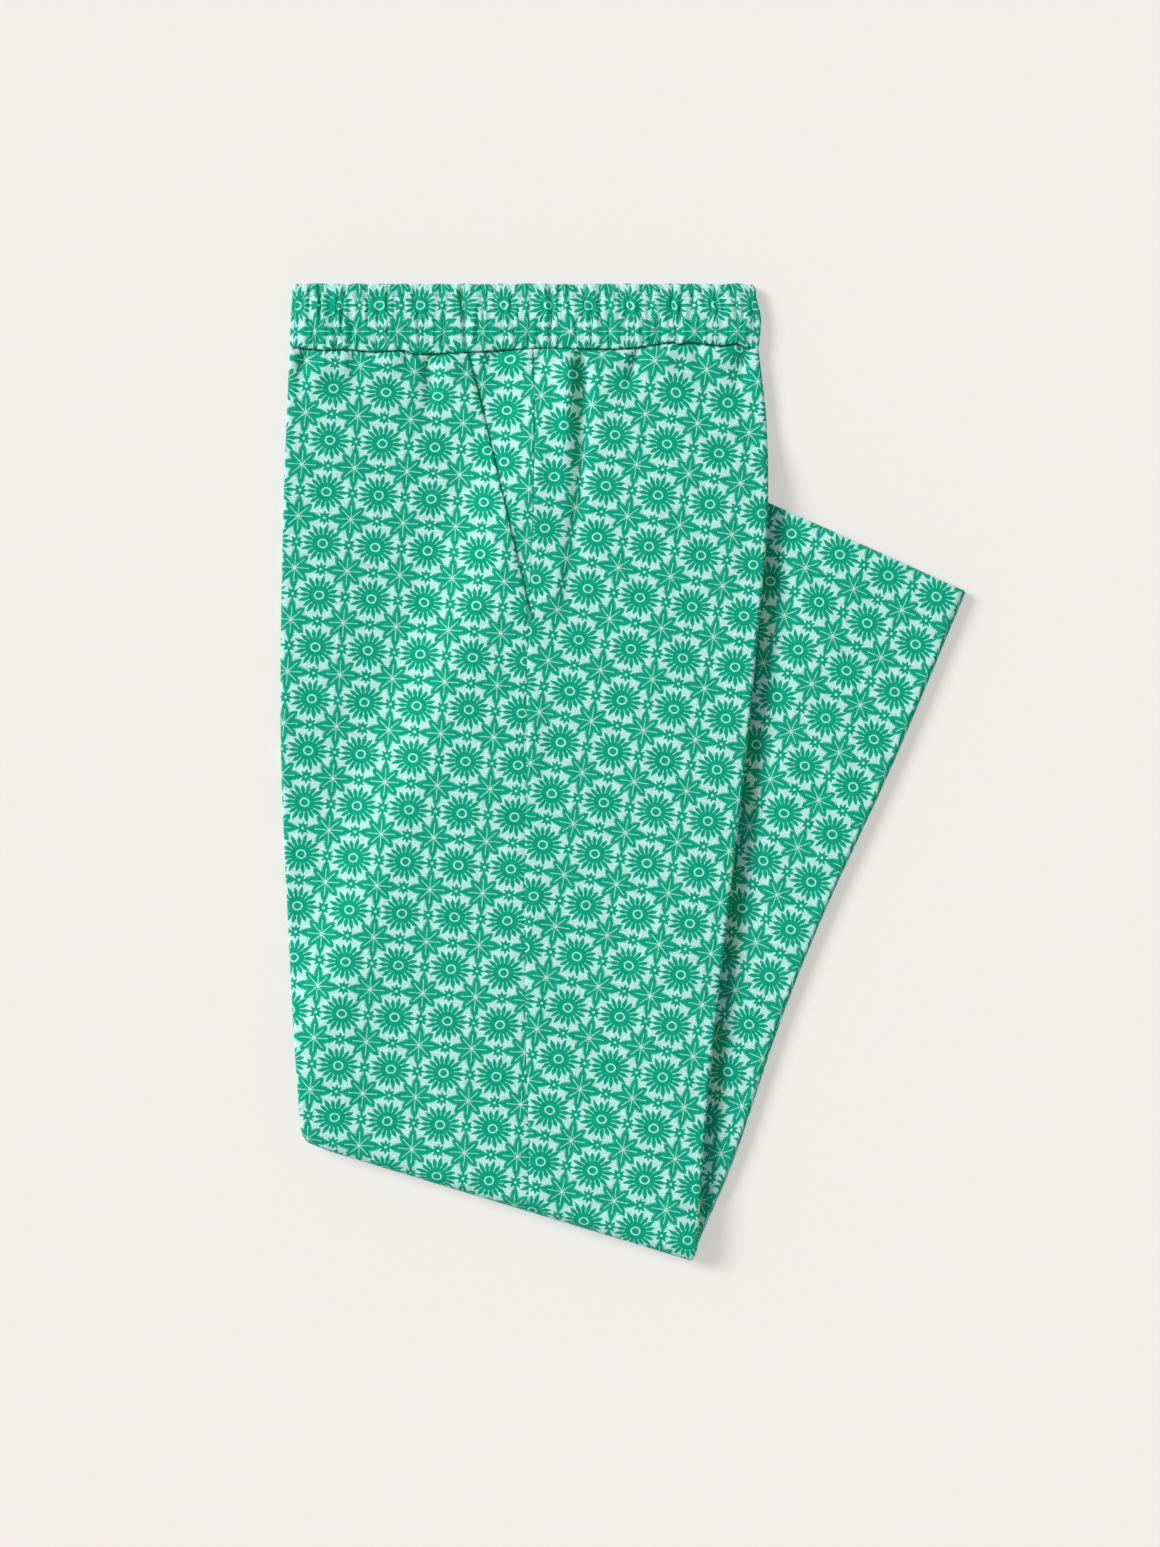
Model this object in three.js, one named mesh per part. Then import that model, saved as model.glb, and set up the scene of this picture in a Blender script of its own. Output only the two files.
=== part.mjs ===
// Linen trousers with an elastic waistband, folded and laid flat: the left leg lies on the right
// leg, and both lower legs are turned under along a slanting fold and come out at the right.
// Millimetres, +Z up. +Y points to the waistband, +X to the back of the garment. The origin is at
// the middle of the footprint, on the surface that the trousers lie on.
//
// A point of the folded cloth is found from its place along the leg, its place across the leg, and
// its depth below the outermost cloth. Depth 0 is the left leg's outer cloth, which is on top above
// the fold, goes round the fold, and lies on the floor below it.
import * as THREE from "three";

// Sizes of the stack
const CLOTH = 1.2; // wall of one layer of cloth with its slack
const GAP = 0.3; // between pieces that touch or are sewn together
const LEG = 4.6; // thickness of one flattened leg, two layers of cloth
const STACK = 2 * LEG + GAP; // both legs
const CORE = STACK + GAP / 2; // depth of the plane that the stack is folded about
const CREASE = LEG / 2; // radius of the soft crease at each edge of a leg
const SETTLE = { from: 11, to: 36 }; // stretch beside the lower legs where the stack sinks down
const UNDER_INSET = 1; // how far the right leg lies inside the left one

// Outline of the upper stack, one row for each section from the waist seam to the fold
const UPPER = [
  { at: "waist seam", leftX: -212.4, leftY: 269.7, rightX: 86.0, rightY: 269.7, seam: 0.521 },
  { at: "yoke", leftX: -214.6, leftY: 220, rightX: 91.4, rightY: 218, seam: 0.518 },
  { at: "hip", leftX: -216.8, leftY: 155, rightX: 91.0, rightY: 152, seam: 0.517 },
  { at: "seat", leftX: -218.1, leftY: 85, rightX: 84.9, rightY: 84, seam: 0.52 },
  { at: "crotch", leftX: -218.0, leftY: 10, rightX: 77.2, rightY: 4, seam: 0.53 },
  { at: "thigh", leftX: -214.8, leftY: -70, rightX: 67.2, rightY: -82, seam: 0.54 },
  { at: "above knee", leftX: -210.6, leftY: -150, rightX: 57.4, rightY: -168, seam: 0.555 },
  { at: "knee", leftX: -206.6, leftY: -205, rightX: 50.6, rightY: -245, seam: 0.57 },
  { at: "fold", leftX: -204.6, leftY: -225.5, rightX: 47.0, rightY: -301.6, seam: 0.575 },
];

// Outline of the lower legs, one row for each section from the fold to the hem
const LOWER = [
  { at: "fold", leftX: -204.6, leftY: -225.5, rightX: 47.0, rightY: -301.6, seam: 0.575 },
  { at: "below fold", leftX: -186, leftY: -172, rightX: 71.5, rightY: -244, seam: 0.56 },
  { at: "calf", leftX: -153, leftY: -86, rightX: 100.5, rightY: -158, seam: 0.54 },
  { at: "shin", leftX: -120, leftY: 4, rightX: 130.6, rightY: -84, seam: 0.52 },
  { at: "ankle", leftX: -84, leftY: 102, rightX: 173.0, rightY: 8, seam: 0.51 },
  { at: "hem", leftX: -37.1, leftY: 229.9, rightX: 218.1, rightY: 114.6, seam: 0.5 },
];

// Rows of points along the leg: to the pocket's foot, to the fold, round the fold, to the hem
const ROWS = { yoke: 11, leg: 10, nose: 6, under: 7 };
const YOKE_SHARE = 0.351; // of the way from the waist seam to the fold
const FOLD_CORNER = { reach: 0.1, back: 7 }; // the fold's soft left corner
const LOWER_START = 0.0012; // share of the lower leg that parts it from what comes round the fold

// Columns of points across a panel
const CREASE_STEPS = 4;
const PLAIN_COLUMNS = 16;
const LOWER_COLUMNS = 6;
const EDGE_STRIP = [0, 4, 8.5, 15, 22]; // distances from the side seam or the pocket's mouth

// The pocket: a slanting mouth in the front panel, raised where it lies over a facing
const POCKET = { topX: -99, topY: 269.7, footX: -58.4, footY: 98.4, raise: 1.5, fade: 24 };
const FACING = { columns: 4, least: 1 }; // columns from the mouth to the seam, least width shown

// Soft folds that run down from the waist seam, one row for each: x at the seam, reach down the
// cloth, half width, lift out of the cloth (below 0 a trough) and lean in x for each mm down
const GATHERS = [
  { x: -203, reach: 62, half: 7, lift: -1.2, lean: 0.05 },
  { x: -178, reach: 74, half: 9, lift: 1.1, lean: -0.5 },
  { x: -164, reach: 40, half: 7, lift: -0.8, lean: 0 },
  { x: -143, reach: 34, half: 8, lift: 0.6, lean: 0.1 },
  { x: -124, reach: 66, half: 7, lift: -1.2, lean: 0.02 },
  { x: -38, reach: 190, half: 9, lift: 1.3, lean: -0.03 },
  { x: -25, reach: 180, half: 7, lift: -1.2, lean: -0.05 },
  { x: -4, reach: 36, half: 7, lift: 0.6, lean: 0.1 },
  { x: 9, reach: 44, half: 7, lift: -0.9, lean: -0.08 },
  { x: 38, reach: 36, half: 9, lift: 0.6, lean: 0.1 },
  { x: 58, reach: 30, half: 7, lift: -0.6, lean: 0 },
  { x: 74, reach: 52, half: 7, lift: -0.9, lean: 0.06 },
];
const GATHER_ROOM = { depth: 1.3, from: 40, to: 200 }; // free below the troughs

// The waistband: a gathered casing with its elastic, a ring laid flat with a tuck at each end
const BAND = { foot: 270, top: 310.8, wall: 1.9, tuck: 48, puckers: 46, pucker: 0.5, under: 24 };
// Rows up the band: share of its height, its two ends, how far its face is drawn in, its gathering
const BAND_ROWS = [
  { share: 0, left: -212.4, right: 86.0, drawn: 0.9, gather: 0.7 },
  { share: 0.06, left: -212.4, right: 86.6, drawn: 0, gather: 1 },
  { share: 0.42, left: -211.8, right: 87.9, drawn: -0.4, gather: 0.8 },
  { share: 0.73, left: -211.1, right: 85.4, drawn: 0, gather: 1 },
  { share: 0.8, left: -210.9, right: 84.6, drawn: 0.7, gather: 0.9 }, // row of stitches
  { share: 0.88, left: -210.7, right: 84, drawn: 0.1, gather: 1 },
  { share: 1, left: -210.5, right: 82.9, drawn: 0.7, gather: 0.5 },
];
// Puckers that are deeper than the rest: where, and their depth and half width
const DEEP_PUCKERS = [
  { x: -176, depth: 0.7, half: 2.5 },
  { x: -139, depth: 0.6, half: 2.5 },
  { x: -101, depth: 1.1, half: 3.2 },
  { x: -45, depth: 0.8, half: 2.8 },
  { x: -19, depth: 0.5, half: 2.5 },
  { x: 37, depth: 0.6, half: 2.5 },
  { x: 74, depth: 0.7, half: 2.8 },
];

const LINEN = { color: 0x35b08c, roughness: 0.9, metalness: 0 };
const HIDDEN = { color: 0x2a9273 };

const lerp = THREE.MathUtils.lerp;
const smooth = THREE.MathUtils.smoothstep;
const range = (count) => Array.from({ length: count }, (_, i) => i);

// Value of one column of a table of sections at a share (0 to 1) of its length, by Catmull-Rom.
function column(table, name, share) {
  const last = table.length - 1;
  const at = THREE.MathUtils.clamp(share, 0, 1) * last;
  const i = Math.min(Math.floor(at), last - 1);
  const value = (k) => table[k][name];
  const before = i > 0 ? value(i - 1) : 2 * value(0) - value(1);
  const after = i < last - 1 ? value(i + 2) : 2 * value(last) - value(last - 1);
  const t = at - i;
  return 0.5 * (2 * value(i) + (value(i + 1) - before) * t
    + (2 * before - 5 * value(i) + 4 * value(i + 1) - after) * t * t
    + (3 * value(i) - before - 3 * value(i + 1) + after) * t * t * t);
}

// One section of the leg: its two edges in plan, its width, the place of its side seam, how far
// it is turned round the fold (0 above, pi below), and whether the fold's soft corner shapes it.
function section(table, share, turn, corner = false) {
  const left = new THREE.Vector2(column(table, "leftX", share), column(table, "leftY", share));
  const right = new THREE.Vector2(column(table, "rightX", share), column(table, "rightY", share));
  const width = left.distanceTo(right);
  return { left, right, width, seam: column(table, "seam", share) * width, turn, corner };
}

const yokeSections = range(ROWS.yoke + 1)
  .map((i) => ({ ...section(UPPER, (YOKE_SHARE * i) / ROWS.yoke, 0), pocket: true }));
const legSections = range(ROWS.leg)
  .map((i) => (i + 1) / ROWS.leg)
  .map((t) => section(UPPER, lerp(YOKE_SHARE, 1, t), 0, t === 1));
const noseSections = range(ROWS.nose)
  .map((i) => section(UPPER, 1, (Math.PI * (i + 1)) / ROWS.nose, true));
const underShares = range(ROWS.under).map((i) => (i + 1) / ROWS.under);
const underSections = underShares.map((t) => section(LOWER, t, Math.PI));
const upperSections = [...yokeSections, ...legSections, ...noseSections];
const lowerSections = [section(LOWER, LOWER_START, Math.PI, true), ...underSections];

// Height of the upper stack's fold plane over a point of the plan: at the top of the lower legs,
// or sunk to the floor beside them.
const foldLeft = new THREE.Vector2(LOWER[0].leftX, LOWER[0].leftY);
const hemLeft = new THREE.Vector2(LOWER.at(-1).leftX, LOWER.at(-1).leftY);
const hemRight = new THREE.Vector2(LOWER.at(-1).rightX, LOWER.at(-1).rightY);
function outside(plan, from, to) {
  const along = to.clone().sub(from).normalize();
  return (plan.y - from.y) * along.x - (plan.x - from.x) * along.y;
}
function rest(plan) {
  const beside = smooth(outside(plan, foldLeft, hemLeft), SETTLE.from, SETTLE.to);
  const beyond = smooth(outside(plan, hemLeft, hemRight), SETTLE.from, SETTLE.to);
  return lerp(-GAP / 2, CORE, (1 - beside) * (1 - beyond));
}

// A point of the stack: across is the distance from the section's left edge.
function place(row, across, depth) {
  const along = row.right.clone().sub(row.left).divideScalar(row.width);
  const plan = row.left.clone().addScaledVector(along, across);
  const corner = row.corner ? 1 - smooth(across / row.width, 0, FOLD_CORNER.reach) : 0;
  const radius = CORE - depth;
  const out = radius * Math.sin(row.turn) - FOLD_CORNER.back * corner;
  plan.x += along.y * out;
  plan.y -= along.x * out;
  const plane = row.turn === 0 ? rest(plan) : CORE;
  return new THREE.Vector3(plan.x, plan.y, plane + radius * Math.cos(row.turn));
}

// The two legs: the depth of the outer cloth, which way its inside lies, and its inset.
const LEFT_LEG = { face: 0, inside: 1, inset: 0 };
const RIGHT_LEG = { face: STACK, inside: -1, inset: UNDER_INSET };

// A point on the crease at a leg's edge: angle 0 on its outer cloth, pi on its inner cloth.
function creasePoint(row, edge, leg, angle, inward) {
  const radius = CREASE - inward;
  const fromEdge = leg.inset + CREASE - radius * Math.sin(angle);
  const across = edge === "left" ? fromEdge : row.width - fromEdge;
  return place(row, across, leg.face + leg.inside * (CREASE - radius * Math.cos(angle)));
}
function crease(row, edge, leg, inward) {
  return range(CREASE_STEPS + 1)
    .map((k) => creasePoint(row, edge, leg, Math.PI * (1 - k / CREASE_STEPS), inward));
}

// Lift of the gathers below the waist seam, which die out at the creases.
function gathers(point, fromCrease) {
  const down = POCKET.topY - point.y;
  const sum = GATHERS.reduce((total, g) => {
    const away = (point.x - g.x - g.lean * down) / g.half;
    return total + g.lift * (1 - smooth(down, 0.15 * g.reach, g.reach)) * Math.exp(-away * away);
  }, 0);
  return sum * smooth(fromCrease, 0, 8);
}

// Distance of the pocket's mouth from a section's left edge.
function mouth(row) {
  const y = lerp(row.left.y, row.right.y, 0.45);
  const t = THREE.MathUtils.clamp((POCKET.topY - y) / (POCKET.topY - POCKET.footY), 0, 1);
  const x = lerp(POCKET.topX, POCKET.footX, t);
  return ((x - row.left.x) / (row.right.x - row.left.x)) * row.width;
}
const frontBorder = (row) => (row.pocket
  ? Math.min(mouth(row), row.seam - GAP - FACING.least) : row.seam - GAP);
const backBorder = (row) => row.seam;

// Distances of a panel's columns from its edge of the leg, from the crease to its border.
function columns(reach, inset, plain, strip) {
  const first = inset + CREASE;
  const wide = strip.at(-1);
  const list = range(plain).map((j) => lerp(first, reach - wide, (j + 1) / (plain + 1)));
  return [...list, ...strip.map((d) => reach - d).reverse()];
}
function fromLeft(row, edge, distance) {
  return edge === "left" ? distance : row.width - distance;
}
function reachOf(row, edge, border) {
  return edge === "left" ? border(row) : row.width - border(row);
}

// A solid through closed rings of points. The ends are filled between two chains of each ring,
// or with closed set, the last ring is joined to the first. Each square is split from its lower x
// to its higher x, so that two faces that follow each other are split alike and stay apart.
function loft(rings, { ends = [], closed = false }) {
  const triangles = [];
  const n = rings[0].length;
  const spans = closed ? rings.length : rings.length - 1;
  for (let i = 0; i < spans; i++)
    for (let j = 0; j < n; j++) {
      const [a, b] = [rings[i], rings[(i + 1) % rings.length]];
      const k = (j + 1) % n;
      if (a[k].x > a[j].x) triangles.push([a[j], b[j], b[k]], [a[j], b[k], a[k]]);
      else triangles.push([a[j], b[j], a[k]], [a[k], b[j], b[k]]);
    }
  for (const [i, j, k] of ends) {
    const [first, last] = [rings[0], rings.at(-1)];
    triangles.push([first[i], first[j], first[k]], [last[i], last[k], last[j]]);
  }
  const volume = triangles.reduce((sum, [a, b, c]) => sum + a.dot(b.clone().cross(c)), 0);
  const positions = triangles.flatMap(([a, b, c]) =>
    (volume > 0 ? [a, b, c] : [a, c, b]).flatMap((p) => [p.x, p.y, p.z]));
  const geometry = new THREE.BufferGeometry();
  geometry.setAttribute("position", new THREE.Float32BufferAttribute(positions, 3));
  geometry.computeVertexNormals();
  return geometry;
}

// Triangles of indices that fill a ring between two of its chains, in step with a key.
function between(upper, lower, key) {
  const list = [];
  let [i, j] = [0, 0];
  while (i < upper.length - 1 || j < lower.length - 1) {
    const stepUpper = j === lower.length - 1
      || (i < upper.length - 1 && key[upper[i + 1]] <= key[lower[j + 1]]);
    if (stepUpper) list.push([upper[i], upper[++i], lower[j]]);
    else list.push([upper[i], lower[j + 1], lower[j++]]);
  }
  return list;
}

// A wall of cloth: each ring is a row of the outer face and the same row of the inner face.
function wall(outer, inner) {
  const n = outer[0].length;
  const rings = outer.map((row, i) => [...row, ...inner[i].toReversed()]);
  const key = [...range(n), ...range(n).reverse()];
  return loft(rings, { ends: between(range(n), range(n).map((j) => 2 * n - 1 - j), key) });
}

function piece(name, geometry, finish = {}) {
  const mesh = new THREE.Mesh(geometry, new THREE.MeshStandardMaterial({ ...LINEN, ...finish }));
  mesh.name = name;
  return mesh;
}

// One panel: round the crease from the leg's other side, then flat to its border.
function panel({ rows, edge, leg, border, plain, strip, lift = () => 0 }) {
  const face = (inward) => rows.map((row) => {
    const reach = reachOf(row, edge, border);
    const flat = columns(reach, leg.inset, plain, strip).map((distance) => {
      const point = place(row, fromLeft(row, edge, distance), leg.face + leg.inside * inward);
      if (row.turn === 0) point.z += lift(point, distance - leg.inset - CREASE, reach - distance);
      return point;
    });
    return [...crease(row, edge, leg, inward), ...flat];
  });
  return wall(face(0), face(CLOTH));
}

function leftFrontPanel() {
  const raise = (point, toBorder) => POCKET.raise
    * smooth(point.y, POCKET.footY - POCKET.fade, POCKET.footY - 4)
    * (1 - smooth(toBorder, EDGE_STRIP[2], EDGE_STRIP[4]));
  return panel({
    rows: [...upperSections, ...underSections], edge: "left", leg: LEFT_LEG, border: frontBorder,
    plain: PLAIN_COLUMNS, strip: EDGE_STRIP,
    lift: (point, fromCrease, toBorder) => gathers(point, fromCrease) + raise(point, toBorder),
  });
}

function leftBackPanel() {
  return panel({
    rows: [...upperSections, ...underSections], edge: "right", leg: LEFT_LEG, border: backBorder,
    plain: PLAIN_COLUMNS, strip: EDGE_STRIP, lift: gathers,
  });
}

function rightPanel(edge, border) {
  return panel({
    rows: lowerSections, edge, leg: RIGHT_LEG, border, plain: LOWER_COLUMNS, strip: [0, 12],
  });
}

// The facing lies level with the back panel and goes a little way under the pocket's mouth. Its
// columns there are those of the front panel above it.
function pocketFacing() {
  const face = (depth) => yokeSections.map((row) => {
    const edge = frontBorder(row);
    const under = EDGE_STRIP.slice(1, 3).map((d) => edge - d).reverse();
    const shown = range(FACING.columns + 1)
      .map((j) => lerp(edge, row.seam - GAP, j / FACING.columns));
    return [...under, ...shown].map((across) => place(row, across, depth));
  });
  return wall(face(0), face(CLOTH));
}

// The hidden layers of the upper stack and of the fold: the inside of the left leg, narrower, on
// the whole right leg with its own creases. Its columns are those of the pieces above it.
function foldedLayers() {
  const clear = UNDER_INSET + CREASE + GAP; // from a leg's edge to the left leg's hidden layers
  let key = [];
  let bottomCount = 0;
  const rings = upperSections.map((row) => {
    const down = POCKET.topY - lerp(row.left.y, row.right.y, 0.5);
    const room = GATHER_ROOM.depth * (1 - smooth(down, GATHER_ROOM.from, GATHER_ROOM.to));
    const top = CLOTH + GAP + (row.turn === 0 ? room : 0);
    const across = [
      ...columns(frontBorder(row), 0, PLAIN_COLUMNS, EDGE_STRIP),
      ...range(FACING.columns - 1)
        .map((j) => lerp(frontBorder(row), row.seam, (j + 1) / FACING.columns)),
      ...columns(row.width - row.seam, 0, PLAIN_COLUMNS, EDGE_STRIP)
        .map((d) => row.width - d).reverse(),
    ];
    const ledge = [LEG, top + GAP].map((depth) => place(row, clear, depth));
    const ledgeRight = [top + GAP, LEG].map((depth) => place(row, row.width - clear, depth));
    const under = across.filter((_, j) => j % 2 === 0);
    const left = crease(row, "left", RIGHT_LEG, 0).reverse();
    const right = crease(row, "right", RIGHT_LEG, 0);
    key = [
      ...left.map(() => 0), 1, 1, ...across.map((d) => Math.max(d, 2)),
      ...[...ledgeRight, ...right].map(() => row.width), ...under.toReversed(),
    ];
    bottomCount = under.length;
    return [
      ...left, ...ledge, ...across.map((d) => place(row, d, top)), ...ledgeRight, ...right,
      ...under.toReversed().map((d) => place(row, d, STACK)),
    ];
  });
  const n = rings[0].length;
  const upper = range(n - bottomCount);
  const lower = range(bottomCount).map((j) => n - 1 - j);
  return loft(rings, { ends: between(upper, lower, key) });
}

// The hidden layers of the lower legs, as profiles along the leg set side by side. At the hem the
// two inner layers of cloth come to the end, with a slit between them.
function lowerFoldedLayers() {
  const inner = UNDER_INSET + CREASE + GAP;
  const [openLegs, slit] = [0.975, 0.98]; // shares of the lower leg where the layers part
  const rows = [...lowerSections.slice(0, -1), section(LOWER, openLegs, Math.PI)];
  const [slitRow, endRow] = [section(LOWER, slit, Math.PI), section(LOWER, 0.999, Math.PI)];
  const [low, high] = [CLOTH + GAP, STACK - CLOTH - GAP];
  const [lowTongue, highTongue] = [LEG - CLOTH, LEG + GAP + CLOTH];
  const tip = [
    [rows.at(-1), lowTongue], [endRow, lowTongue], [endRow, LEG], [slitRow, LEG],
    [slitRow, LEG + GAP], [endRow, LEG + GAP], [endRow, highTongue], [rows.at(-1), highTongue],
  ];
  const profile = [
    ...rows.map((row) => [row, low]), ...tip, ...rows.toReversed().map((row) => [row, high]),
  ];
  const m = rows.length;
  const n = profile.length;
  const rings = range(LOWER_COLUMNS + 2).map((j) => profile.map(([row, depth]) =>
    place(row, lerp(inner, row.width - inner, j / (LOWER_COLUMNS + 1)), depth)));
  const body = between(
    [...range(m + 1), m + 3], [...range(m + 1).map((j) => n - 1 - j), m + 4],
    range(n).map((j) => Math.min(j, n - 1 - j)),
  );
  const tongues = [[m, m + 1, m + 2], [m, m + 2, m + 3], [m + 4, m + 5, m + 6], [m + 4, m + 6, m + 7]];
  return loft(rings, { ends: [...body, ...tongues] });
}

// Lift of the waistband's gathered face at one of its columns, a crest or a trough in turn.
function pucker(j, x) {
  const uneven = 0.75 + 0.25 * Math.sin(1.9 * j);
  const deep = DEEP_PUCKERS
    .reduce((sum, p) => sum + p.depth * Math.exp(-(((x - p.x) / p.half) ** 2)), 0);
  return BAND.pucker * uneven * (j % 2 ? -1 : 1) - deep;
}

// The waistband's loop at one row, seen along the leg: over the top, round the upper crease, into
// the tuck and out, round the lower crease, and back underneath to the same at the front.
function bandLoop(row, inward) {
  const y = lerp(BAND.foot, BAND.top, row.share);
  const point = (x, z) => new THREE.Vector3(x, y, z);
  const [first, last] = [row.left + CREASE, row.right - CREASE];
  const top = range(2 * BAND.puckers + 1).map((j) => {
    const x = lerp(first, last, j / (2 * BAND.puckers));
    const near = smooth(Math.min(x - first, last - x), 0, 2 * CREASE);
    return point(x, STACK + (inward ? -inward : near * (row.gather * pucker(j, x) - row.drawn)));
  });
  // One end of the loop from the top down: side is 1 at the right and -1 at the left.
  const end = (centreX, side) => {
    const lobe = (centreZ) => range(CREASE_STEPS + 1).map((k) => {
      const angle = (Math.PI * k) / CREASE_STEPS;
      const radius = CREASE - inward;
      return point(centreX + side * radius * Math.sin(angle), centreZ + radius * Math.cos(angle));
    });
    const tipX = centreX - side * (BAND.tuck - CREASE);
    const half = GAP / 2 + inward;
    const middle = LEG + GAP / 2;
    const tip = [point(tipX, middle + half), point(tipX - side * half, middle),
      point(tipX, middle - half)];
    return [...lobe(STACK - CREASE), ...tip, ...lobe(CREASE)];
  };
  const under = range(BAND.under - 1)
    .map((j) => point(lerp(last, first, (j + 1) / BAND.under), inward));
  return [
    ...top.slice(1, -1), ...end(last, 1), ...under, ...end(first, -1).reverse(),
  ];
}

function waistband() {
  const outer = BAND_ROWS.map((row) => bandLoop(row, 0));
  const inner = [BAND_ROWS.at(-1), BAND_ROWS[0]].map((row) => bandLoop(row, BAND.wall));
  return loft([...outer, ...inner], { closed: true });
}

export default new THREE.Group().add(
  piece("waistband", waistband()),
  piece("left_front_panel", leftFrontPanel()),
  piece("left_back_panel", leftBackPanel()),
  piece("left_pocket_facing", pocketFacing()),
  piece("right_back_panel", rightPanel("right", backBorder)),
  piece("right_front_panel", rightPanel("left", frontBorder)),
  piece("folded_layers", foldedLayers(), HIDDEN),
  piece("lower_folded_layers", lowerFoldedLayers(), HIDDEN),
);
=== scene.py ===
# %% [markdown]
# # Linen trousers, folded and laid flat
# The real thing is a pair of printed linen trousers with a gathered elastic waistband. They are
# folded along, left leg on top of the right, and the lower legs are turned under along a slanting
# fold, so that they come out at the right. This notebook dresses the plain solids of the model with
# thin cloth. Every piece is a sheet of cloth bent round the same folds, so one function that places
# a point of the folded stack serves them all.

import math
from types import SimpleNamespace

import bpy
import numpy as np
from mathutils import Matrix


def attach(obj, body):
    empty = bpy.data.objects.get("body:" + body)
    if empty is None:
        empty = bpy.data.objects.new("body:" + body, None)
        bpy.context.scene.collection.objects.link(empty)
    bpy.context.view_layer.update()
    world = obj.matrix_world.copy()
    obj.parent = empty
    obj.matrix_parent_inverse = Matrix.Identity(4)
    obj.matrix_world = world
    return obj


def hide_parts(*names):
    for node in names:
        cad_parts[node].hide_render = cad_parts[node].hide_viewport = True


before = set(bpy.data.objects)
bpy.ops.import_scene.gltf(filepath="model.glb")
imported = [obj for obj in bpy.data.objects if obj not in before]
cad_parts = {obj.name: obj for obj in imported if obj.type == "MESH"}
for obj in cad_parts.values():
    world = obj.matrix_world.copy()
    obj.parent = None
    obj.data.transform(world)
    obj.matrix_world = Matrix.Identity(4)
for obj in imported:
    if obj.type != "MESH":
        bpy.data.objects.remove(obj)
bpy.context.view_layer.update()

# %% [markdown]
# ## Sizes of the folded stack
# The model's own sizes, in millimetres. Only the slope beside the lower legs is longer here and the
# fold's left corner is rounder, as in soft cloth. A point's depth is counted from the outermost
# cloth: depth 0 is the left leg's outer cloth, on top above the fold and on the floor below it.

# %% Sizes
MM = 0.001
# the space between two layers, and the height of one flattened leg, of both legs, and of the fold's
# middle
GAP = 0.3
LEG = 4.6
STACK = 2 * LEG + GAP
CORE = STACK + GAP / 2
# the radius of a leg's crease
CREASE = LEG / 2
# how far from the lower legs the upper stack starts to sink, and where it has reached the floor
SETTLE = (2, 52)
# the fold's left corner: its share of the width, how far it stands back, and its radius
CORNER_REACH, CORNER_BACK = 0.1, 1.5
CORNER_ROUND = 14
# the cloth's thickness, the waist seam's y in plan, and the pocket foot's share of the upper leg
CLOTH = 0.55
WAIST_SEAM = 269.7
YOKE_SHARE = 0.351
# a turn or an angle above this is half a turn
NEARLY_HALF = 3.1

# one row for each section: left edge x, y, right edge x, y, and the side seam's share of the width
UPPER = np.array([
    [-212.4, WAIST_SEAM, 86.0, WAIST_SEAM, 0.521],
    [-214.6, 220, 91.4, 218, 0.518],
    [-216.8, 155, 91.0, 152, 0.517],
    [-218.1, 85, 84.9, 84, 0.52],
    [-218.0, 10, 77.2, 4, 0.53],
    [-214.8, -70, 67.2, -82, 0.54],
    [-210.6, -150, 57.4, -168, 0.555],
    [-206.6, -205, 50.6, -245, 0.57],
    [-204.6, -225.5, 47.0, -301.6, 0.575],
])
LOWER = np.array([
    [-204.6, -225.5, 47.0, -301.6, 0.575],
    [-186, -172, 71.5, -244, 0.56],
    [-153, -86, 100.5, -158, 0.54],
    [-120, 4, 130.6, -84, 0.52],
    [-84, 102, 173.0, 8, 0.51],
    [-37.1, 229.9, 218.1, 114.6, 0.5],
])
LEFT_LEG = SimpleNamespace(face=0, inside=1, inset=0)
RIGHT_LEG = SimpleNamespace(face=STACK, inside=-1, inset=1)

# %% [markdown]
# ## Rows along the leg
# A trouser leg is drafted as a list of widths: hip, thigh, knee, hem. Between the drafted widths the
# edge is a smooth curve, here a Catmull-Rom curve through the table. A set of rows keeps, for each
# row of cloth, its two edges, how far it is turned round the fold, and how far the fold's soft left
# corner reaches it.

# %% Rows of a leg
def smooth(x, low, high):
    """0 below low and 1 above high, with t t (3 - 2 t) between them."""
    t = np.clip((x - low) / (high - low), 0, 1)
    return t * t * (3 - 2 * t)


def mix(a, b, t):
    """a where t is 0 and b where t is 1."""
    return a + (b - a) * t


def table_at(table, share):
    """Catmull-Rom through all the table's columns at once, at shares 0 to 1 of its length."""
    padded = np.vstack([2 * table[0] - table[1], table, 2 * table[-1] - table[-2]])
    at = np.clip(share, 0, 1) * (len(table) - 1)
    i = np.minimum(at.astype(int), len(table) - 2)
    t = (at - i)[:, None]
    p0, p1, p2, p3 = (padded[i + k] for k in range(4))
    return 0.5 * (2 * p1 + (p2 - p0) * t + (2 * p0 - 5 * p1 + 4 * p2 - p3) * t**2
                  + (3 * p1 - p0 - 3 * p2 + p3) * t**3)


def rows_of(table, share, turn=0.0, corner=0.0, inward=0.0, past=0.0):
    """Rows at the given shares of a table. turn is the angle round the fold, inward the depth of a
    hem that is turned in, and past how far the row lies beyond the table's end."""
    share = np.asarray(share, float)
    values = table_at(table, share)
    full = np.ones(len(share))
    return SimpleNamespace(left=values[:, 0:2], right=values[:, 2:4], seam=values[:, 4], share=share,
                           turn=full * turn, corner=full * corner, inward=full * inward,
                           past=full * past)


def above_fold(rows):
    """True on the rows of the upper stack."""
    return rows.turn == 0


def below_fold(rows):
    """True on the rows of the lower legs."""
    return rows.turn > NEARLY_HALF


def widths(rows):
    """Width of each row in mm."""
    return np.linalg.norm(rows.right - rows.left, axis=1)


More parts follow.
